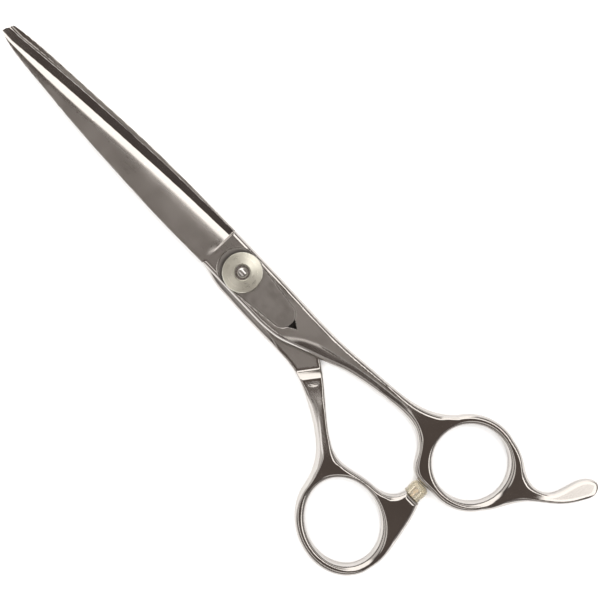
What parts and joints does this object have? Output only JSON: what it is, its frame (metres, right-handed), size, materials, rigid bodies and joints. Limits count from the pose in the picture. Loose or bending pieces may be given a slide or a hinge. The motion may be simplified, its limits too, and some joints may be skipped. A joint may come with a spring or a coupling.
{
  "type": "hair cutting shears",
  "caption": "Right-handed hair cutting shears with offset rings, finger rest, dial tension pivot and soft bumper; the blades open and close about the pivot and the dial turns.",
  "frame": {"origin": "on the pivot axis, in the rear face that the shears lie on", "axes": "+X from the pivot towards the rings (the tips point to -X), +Y towards the finger ring's side, +Z out of the front face, where the dial is"},
  "size_m": [0.1919, 0.0666, 0.0074],
  "materials": {
    "forged_steel": "satin ground faces, polished rings",
    "dial_steel": "turned, fine concentric marks",
    "screw_steel": "polished",
    "spring_steel": "satin",
    "nylon": "natural",
    "bearing_bronze": "plain",
    "clear_silicone": "translucent",
    "post_metal": "dull brown"
  },
  "bodies": {
    "front_half": {"finger_half": "forged_steel", "pivot_screw": "screw_steel", "leaf_spring": "spring_steel"},
    "rear_half": {"thumb_half": "forged_steel", "pivot_bushing": "bearing_bronze", "friction_washer": "nylon", "rear_washer": "nylon", "bumper": "clear_silicone", "bumper_post": "post_metal"},
    "dial": {"tension_dial": "dial_steel", "dial_washer": "nylon"}
  },
  "joints": [
    {"name": "blade_pivot", "type": "hinge", "parent": "front_half", "child": "rear_half", "pos_m": [0, 0, 0], "axis": [0, 0, -1], "range_deg": [0, 140]},
    {"name": "dial_turn", "type": "hinge", "parent": "front_half", "child": "dial", "pos_m": [0, 0, 0], "axis": [0, 0, 1], "range_deg": [0, 270]}
  ]
}
